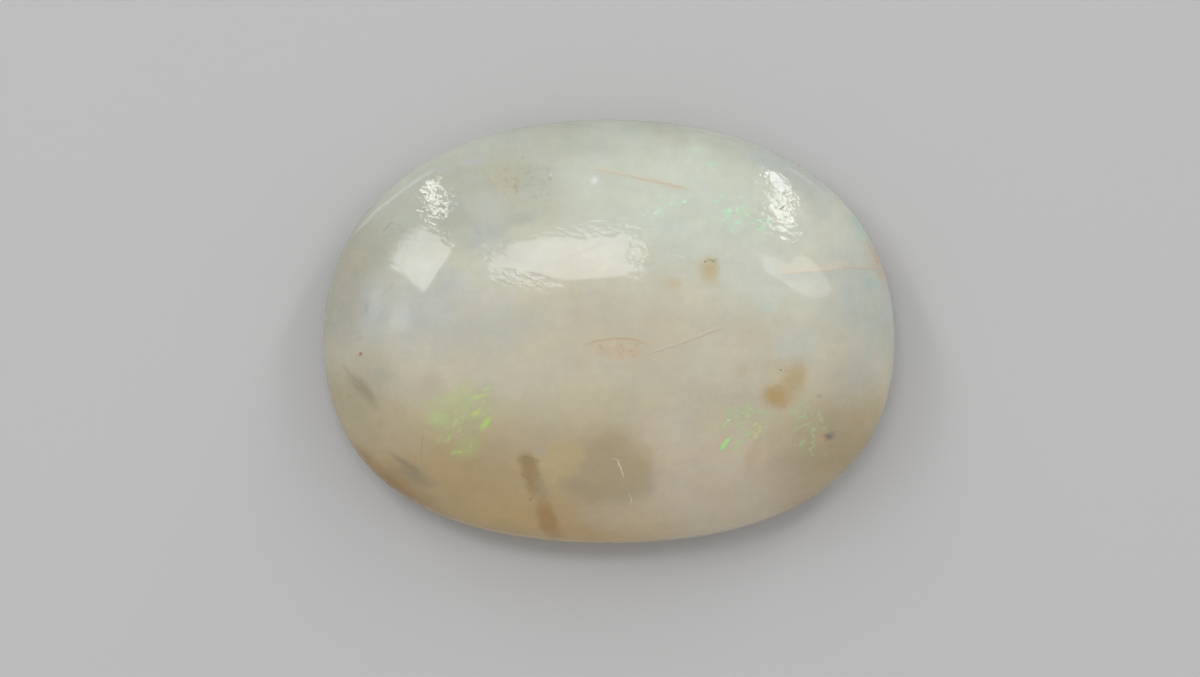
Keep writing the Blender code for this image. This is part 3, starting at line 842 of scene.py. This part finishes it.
# The grain of the stone: its billows, how much it shades the body, how ragged it makes a crack and a
# fleck, how a crack's line wears thin with it, and where line and fleck start to fade
GRAIN_BILLOWS = (0.3, 2.0, 110.0)
GRAIN_SHADE = 0.09
CRACK_RAGGEDNESS = 1.5
CRACK_WEAR = 2.0
CRACK_SHOWN = 0.9
CRACK_HEART = 0.2
FLECK_RAGGEDNESS = 1.6
FLECK_HEART = 0.1

# The polish: the ripple's billows, their turn in degrees, curl, stretch and height, and its gloss
RIPPLE_BILLOWS = (0.27, 0.0, 13.0)
RIPPLE_TURN = 22
RIPPLE_CURL = 0.5
RIPPLE_STRETCH = (0.3, 1.0, 1.0)
RIPPLE_HEIGHT = 0.017
PIT_DEPTH = 0.012
POLISHED_ROUGHNESS = 0.055
SHEEN_SPREAD = 0.03

# The lapped back: the heights between which it ends, its scratches and its dullness
LAPPED_FROM = 0.048
LAPPED_TO = 0.12
LAP_SCRATCH_BILLOWS = (1.0, 1.0, 11.0)
LAP_SCRATCH_STRETCH = (0.5, 14.0, 1.0)
LAP_SCRATCH_DEPTH = 0.02
LAP_SCRATCH_SHADE = 0.12
LAPPED_ROUGHNESS = 0.36
LAPPED_ROUGHNESS_SPREAD = 0.15

# The opal itself: how light bends, how much of it goes in, and how far, in metres, by colour
REFRACTIVE_INDEX = 1.45
MILKINESS = 0.6
LIGHT_REACH = 0.0012
LIGHT_REACH_BY_COLOUR = (1.0, 0.9, 0.7)


def new_material(name, settings):
    """A new material with these values on its surface, and its tree."""
    material = bpy.data.materials.new(name)
    material.use_nodes = True
    for title, value in settings.items():
        material.node_tree.nodes["Principled BSDF"].inputs[title].default_value = value
    return material, material.node_tree


def opal_finish():
    """Milky opal under a hand polish: it draws the cracks, the painted rim reflections and the flecks that
    the mesh carries, sharply.
    """
    settings = {"IOR": REFRACTIVE_INDEX, "Subsurface Weight": MILKINESS, "Subsurface Scale": LIGHT_REACH,
                "Subsurface Radius": LIGHT_REACH_BY_COLOUR}
    material, tree = new_material("milky_opal", settings)
    surface = tree.nodes["Principled BSDF"]

    def carried(name):
        return add(tree, "ShaderNodeAttribute", attribute_name=name).outputs

    place = scaled(tree, add(tree, "ShaderNodeTexCoord").outputs["Object"], MM_PER_METRE)
    grain = cloud(tree, place, *GRAIN_BILLOWS)

    # These lines are the healed cracks and the painted rim reflections
    crack = parts(tree, carried("crack")["Vector"])
    ragged = reckon(tree, "ABSOLUTE", reckon(tree, "MULTIPLY_ADD", grain, CRACK_RAGGEDNESS, crack[0]))
    worn = times(tree, crack[1], reckon(tree, "MULTIPLY_ADD", grain, CRACK_WEAR, CRACK_SHOWN))
    line = falling(tree, ragged, CRACK_HEART, 1.0, worn)
    body = blend(tree, line, carried("body_tone_and_painted_light")["Color"], carried("crack_and_reflection_tone")["Color"])
    fleck = parts(tree, carried("fleck")["Vector"])
    spread = reckon(tree, "MULTIPLY_ADD", fleck[0], fleck[0], times(tree, fleck[1], fleck[1]))
    spread = reckon(tree, "MULTIPLY_ADD", grain, FLECK_RAGGEDNESS, spread)
    spot = falling(tree, spread, FLECK_HEART, 1.0)
    mask = times(tree, spot, reckon(tree, "MINIMUM", fleck[2], 1.0))
    body = blend(tree, mask, body, carried("fleck_tone")["Color"])

    # Polished dome, and a flat back left as the lap ground it
    lapped = falling(tree, parts(tree, place)[2], LAPPED_FROM, LAPPED_TO)
    scratches = cloud(tree, along(tree, "MULTIPLY", place, LAP_SCRATCH_STRETCH), *LAP_SCRATCH_BILLOWS)
    lap_marks = times(tree, scratches, lapped)
    shade = reckon(tree, "MULTIPLY_ADD", grain, GRAIN_SHADE, 1.0)
    shade = reckon(tree, "MULTIPLY_ADD", lap_marks, LAP_SCRATCH_SHADE, shade)
    tree.links.new(scaled(tree, body, shade), surface.inputs["Base Color"])

    sheen = reckon(tree, "MULTIPLY_ADD", grain, SHEEN_SPREAD, POLISHED_ROUGHNESS)
    rough = reckon(tree, "MULTIPLY_ADD", scratches, LAPPED_ROUGHNESS_SPREAD, LAPPED_ROUGHNESS)
    gap = minus(tree, rough, sheen)
    tree.links.new(reckon(tree, "MULTIPLY_ADD", gap, lapped, sheen), surface.inputs["Roughness"])

    ripple = times(tree, crack[2], RIPPLE_HEIGHT)
    crests = turned_about_up(tree, place, math.radians(RIPPLE_TURN))
    crests = along(tree, "ADD", crests, times(tree, grain, RIPPLE_CURL))
    crests = along(tree, "MULTIPLY", crests, RIPPLE_STRETCH)
    relief = times(tree, cloud(tree, crests, *RIPPLE_BILLOWS), ripple)
    pit = times(tree, spot, reckon(tree, "MAXIMUM", minus(tree, fleck[2], 1.0), 0.0))
    relief = reckon(tree, "MULTIPLY_ADD", pit, -PIT_DEPTH, relief)
    relief = plus(tree, relief, times(tree, lap_marks, LAP_SCRATCH_DEPTH))
    bump = add(tree, "ShaderNodeBump", {"Height": relief, "Distance": 1 / MM_PER_METRE, "Strength": 1.0})
    tree.links.new(bump.outputs[0], surface.inputs["Normal"])
    return material


def put(name, data):
    """A new object with this data in the scene."""
    thing = bpy.data.objects.new(name, data)
    bpy.context.scene.collection.objects.link(thing)
    return thing


def grown_opal():
    """The stone as a plain mesh, made by the tree and then freed of it."""
    seed_mesh = put("opal_form", bpy.data.meshes.new("opal_form"))
    tree = opal_form()
    modifier = seed_mesh.modifiers.new("form", "NODES")
    modifier.node_group = tree
    values = {
        "Cells Across": CELLS_ACROSS,
        "Length": LENGTH,
        "Width": WIDTH,
        "Dome Height": DOME_HEIGHT,
        "Girdle Height": GIRDLE_HEIGHT,
        "Back Depth": BACK_DEPTH,
        "Back Edge Round": BACK_EDGE_ROUND,
        "Corner Fullness": CORNER_FULLNESS,
        "End Drop": END_DROP,
        "Dome Share": DOME_SHARE,
        "Polish Wave Height": POLISH_WAVE_HEIGHT,
        "Polish Wave Size": POLISH_WAVE_SIZE,
        "Seed": POLISH_WAVE_SEED,
        "Finish": opal_finish(),
    }
    for socket in tree.interface.items_tree:
        if socket.in_out == "INPUT" and socket.name in values:
            modifier[socket.identifier] = values[socket.name]
    evaluated = bpy.context.evaluated_depsgraph_get()
    made = seed_mesh.evaluated_get(evaluated)
    mesh = bpy.data.meshes.new_from_object(made, preserve_all_data_layers=True, depsgraph=evaluated)
    bpy.data.objects.remove(seed_mesh)
    while len(mesh.materials) > 1:
        mesh.materials.pop(index=0)  # the empty slot of the sheet that the tree starts from
    mesh.name = "opal_stone"
    return put("opal_stone", mesh)


opal = grown_opal()
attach(opal, "root")
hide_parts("opal")


# The table: a square of plain pale board with a matt face, wide enough to fill the view from any
# side. It isn't part of the object, and the stone lies loose on it.

TABLE_SIZE = 6.0
TABLE_COLOUR = (0.60, 0.60, 0.60, 1)
TABLE_ROUGHNESS = 0.9
TABLE_SHINE = 0.2


def pale_table():
    """The board, with its face at the height on which the stone rests."""
    bpy.ops.mesh.primitive_plane_add(size=TABLE_SIZE)
    table = bpy.context.object
    table.name = "pale_table"
    settings = {"Base Color": TABLE_COLOUR, "Roughness": TABLE_ROUGHNESS, "Specular IOR Level": TABLE_SHINE}
    table.data.materials.append(new_material("pale_table", settings)[0])
    return table


pale_table()


# The camera: straight above the stone with a long lens, as the photograph was taken. It is so high
# that the stone's girdle is as large in the frame as it is there.

MILLIMETRES_PER_PIXEL = 0.049
FRAME_WIDTH_PX = 1200
LENS_MM = 200
SENSOR_MM = 36
NEAREST_SEEN = 0.01
MIDDLE_OF_VIEW = (-0.437, -0.359)

view_width = FRAME_WIDTH_PX * MILLIMETRES_PER_PIXEL / MM_PER_METRE
camera_height = GIRDLE_HEIGHT + view_width * LENS_MM / SENSOR_MM
lens = bpy.data.cameras.new("overhead_camera")
lens.lens = LENS_MM
lens.sensor_width = SENSOR_MM
lens.clip_start = NEAREST_SEEN
camera = put("overhead_camera", lens)
camera.location = (MIDDLE_OF_VIEW[0] / MM_PER_METRE, MIDDLE_OF_VIEW[1] / MM_PER_METRE, camera_height)
bpy.context.scene.camera = camera


# The lamps: panels of cloth lit from behind, standing round the stone. Each one's corners are given
# by the places where the camera sees them mirrored in the polish, as the photograph shows them, with
# the width over which the light fades out there. The studio round them gives an even light.

STONE_MIDDLE_PX = (608.92, 331.18)
LAMP_DISTANCE = 0.6
SLOPE_STEP_MM = 0.01
OUTLINE_STEPS = 12
LEAST_DIVISOR = 1e-9
EVEN_LIGHT = 0.508


def opal_surface(across_x, across_y):
    """Point of the dome, in metres, that is seen from above at these millimetres."""
    x, y = across_x / MM_PER_METRE, across_y / MM_PER_METRE
    u = x / (LENGTH / 2)
    v = (y + END_DROP * u * u) / (WIDTH / 2)
    fullness = 1.0
    for _ in range(OUTLINE_STEPS):
        dx, dy = u / fullness, v / fullness
        fullness = 1 + CORNER_FULLNESS * (2 * dx * dy) ** 2 / max(dx * dx + dy * dy, LEAST_DIVISOR)
    rise = math.sqrt(max(0.0, 1 - dx * dx - dy * dy))
    return Vector((x, y, GIRDLE_HEIGHT + DOME_HEIGHT * rise))


def mirrored(x, y):
    """Where a ray from the camera that the dome mirrors at x, y arrives at the distance of the lamps."""
    step = SLOPE_STEP_MM
    east = opal_surface(x + step, y) - opal_surface(x - step, y)
    north = opal_surface(x, y + step) - opal_surface(x, y - step)
    normal = east.cross(north).normalized()
    point = opal_surface(x, y)
    ray = (point - camera.location).normalized()
    return point + (ray - 2 * ray.dot(normal) * normal) * LAMP_DISTANCE


def glowing_cloth(name, radiance, tint):
    """Cloth lit from behind: it glows as much as the panel's own glow says at each corner."""
    material, tree = new_material(name, {})
    tree.nodes.remove(tree.nodes["Principled BSDF"])
    glow = add(tree, "ShaderNodeAttribute", attribute_name="glow").outputs["Fac"]
    cloth = add(tree, "ShaderNodeEmission", {"Color": (*tint, 1), "Strength": times(tree, glow, radiance)})
    tree.links.new(cloth.outputs[0], tree.nodes["Material Output"].inputs["Surface"])
    return material


def lamp(name, radiance, tint, corners):
    """A panel whose image on the dome has these corners, each with its width of fading, all in pixels."""
    middle = Vector((sum(c[0] for c in corners), sum(c[1] for c in corners))) / len(corners)
    inner, outer = [], []
    for px, py, fade in corners:
        outward = (Vector((px, py)) - middle).normalized() * (fade / 2)
        for ring, shift in ((inner, -outward), (outer, outward)):
            seen = (Vector((px, py)) + shift - Vector(STONE_MIDDLE_PX)) * MILLIMETRES_PER_PIXEL
            ring.append(mirrored(seen.x, -seen.y))
    count = len(corners)
    faces = [tuple(range(count))]
    for i in range(count):
        j = (i + 1) % count
        faces.append((i, j, count + j, count + i))
    mesh = bpy.data.meshes.new(name)
    mesh.from_pydata(inner + outer, [], faces)
    glow = mesh.attributes.new("glow", "FLOAT", "POINT")
    for i in range(count):
        glow.data[i].value = 1.0
    mesh.materials.append(glowing_cloth(name, radiance, tint))
    panel = put(name, mesh)
    panel.visible_camera = False


# Name, radiance, tint, then the corners of the mirrored panel: across, down and fading width, in
# pixels of the photograph's frame
LAMPS = (
    ("top_panel", 4.7, (1.0, 0.96, 0.975),
     ((489, 270, 3), (496, 254, 3), (505, 247, 3), (517, 242.6, 3), (568, 239.8, 3), (608, 236.5, 6),
      (627, 235, 10), (637, 248, 16), (638, 267, 15), (632, 277, 8), (584, 280.2, 2), (566, 281.8, 2),
      (545, 282, 5), (520, 280, 7), (503, 277.5, 5))),
    ("left_panel", 5.1, (0.98, 1.0, 1.0),
     ((424, 224, 10), (438, 235, 5), (454, 248, 2), (452, 255, 2), (443, 268, 1), (428, 292, 1),
      (411, 280, 8), (392, 266, 8), (399.5, 249.5, 10), (411, 235, 12))),
    ("right_panel", 2.9, (1.0, 0.98, 0.97),
     ((794, 256, 3), (801, 255, 2), (811, 262, 1), (831, 289, 1), (827, 293, 2), (817, 297.5, 4),
      (810, 301, 4), (795, 292, 2), (765, 273.8, 3), (757, 258, 10), (770, 256, 8), (789, 264, 3))),
    ("left_strip", 11.5, (0.98, 1.0, 0.98),
     ((427, 184, 2), (437, 180.5, 2), (442, 197, 2), (447, 214, 2), (443, 221, 3), (435, 218, 3),
      (431, 206, 3), (427.5, 194, 3))),
    ("right_strip", 10.0, (0.98, 1.0, 0.98),
     ((767, 172.5, 2), (776, 174, 2), (785, 183, 2), (790.5, 196, 2), (790, 215, 2), (789, 231, 2),
      (788, 238, 2), (779, 232, 3), (771, 224, 4), (772, 212, 4), (774, 198, 3), (772, 184, 3))),
    ("blue_window_edge", 1.6, (0.88, 0.90, 1.0),
     ((371, 290, 2), (384, 290, 12), (384, 318, 12), (371.5, 327, 2))),
    ("blue_window", 1.8, (0.88, 0.90, 1.0),
     ((399, 303, 2), (412, 306, 12), (414, 325, 12), (403, 334, 8), (391.5, 335, 2), (394.5, 313, 2))),
    ("top_gap", 6.0, (0.95, 0.97, 1.0),
     ((591.5, 180, 3), (596, 178, 3), (597, 184, 3), (593.5, 190, 3))),
    ("left_rim_window", 3.2, (0.95, 0.97, 1.0),
     ((373, 208, 7), (393, 192, 8), (413, 182, 6), (416, 187, 6), (397, 199, 8), (378, 213, 7))),
    ("right_rim_window", 3.2, (0.95, 0.97, 1.0),
     ((793, 175, 3), (803, 178, 4), (815, 185, 3), (813, 188, 3), (801, 182.5, 4), (793, 178, 3))),
)

for panel in LAMPS:
    lamp(*panel)

world = bpy.data.worlds.new("studio")
bpy.context.scene.world = world
world.use_nodes = True
world.node_tree.nodes["Background"].inputs["Color"].default_value = (1, 1, 1, 1)
world.node_tree.nodes["Background"].inputs["Strength"].default_value = EVEN_LIGHT

bpy.context.scene.view_settings.view_transform = "Standard"
